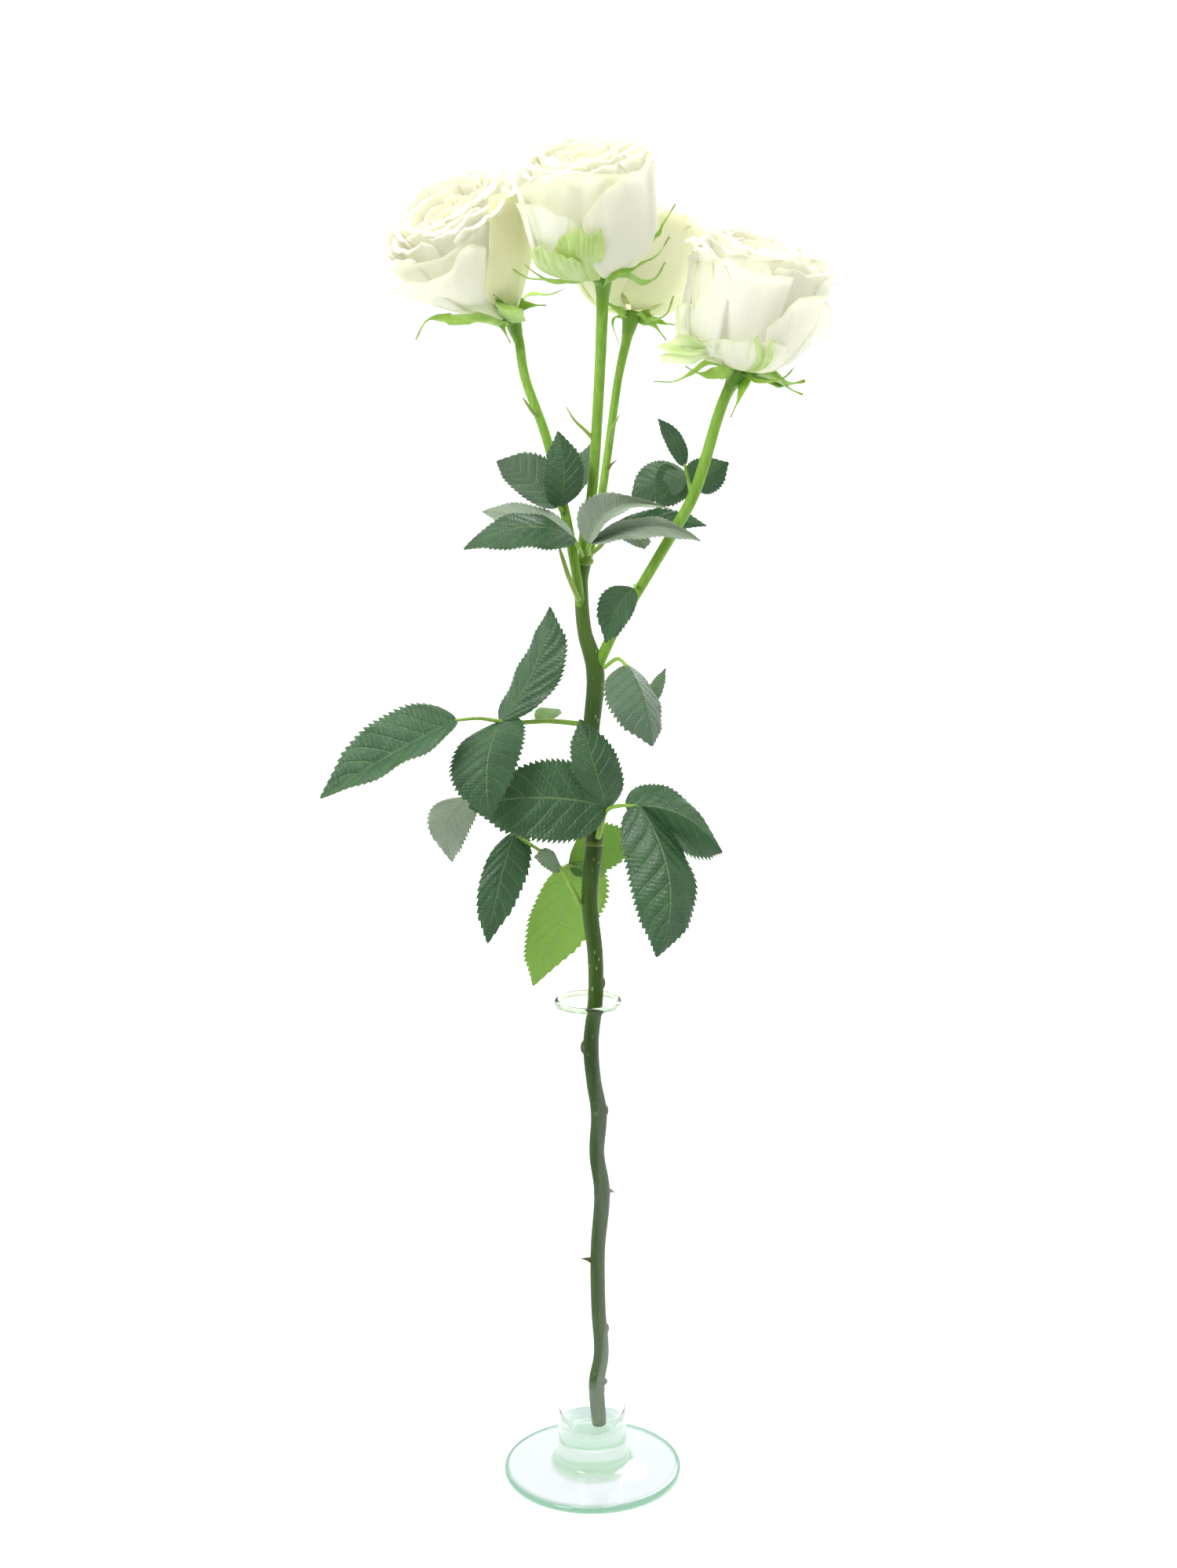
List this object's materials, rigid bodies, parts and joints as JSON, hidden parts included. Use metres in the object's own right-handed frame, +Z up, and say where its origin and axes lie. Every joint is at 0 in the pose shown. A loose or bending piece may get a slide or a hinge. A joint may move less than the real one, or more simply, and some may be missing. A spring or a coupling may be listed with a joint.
{
  "type": "multi-bloom rose stem",
  "caption": "Cut cane of double white roses with serrated compound leaves, standing in a slim clear glass bud vase with a wide flat foot",
  "frame": {"origin": "centre of the vase foot's underside", "axes": "+Z up along the vase and cane, X to the viewer's right, Y away from the viewer; the viewer stands on the -Y side"},
  "size_m": [0.1915, 0.123, 0.5241],
  "materials": {
    "glass": "clear, faint green where thick",
    "stem": "satin green bark",
    "leaf": "waxy, veined",
    "petal": "soft, velvety",
    "sepal": "downy"
  },
  "bodies": {
    "root": {"glass_vase": "glass", "stem": "stem", "leaf_low_left": "leaf", "leaf_low_right": "leaf", "leaf_middle_left": "leaf", "leaf_middle_right": "leaf", "leaf_small_right": "leaf", "leaf_top_left": "leaf", "leaf_top_centre": "leaf", "leaf_top_right": "leaf", "leaf_side_spray": "leaf", "bloom_left": "petal", "bloom_top": "petal", "bloom_right": "petal", "bloom_back": "petal", "calyx_left": "sepal", "calyx_top": "sepal", "calyx_right": "sepal", "calyx_back": "sepal"}
  },
  "joints": []
}
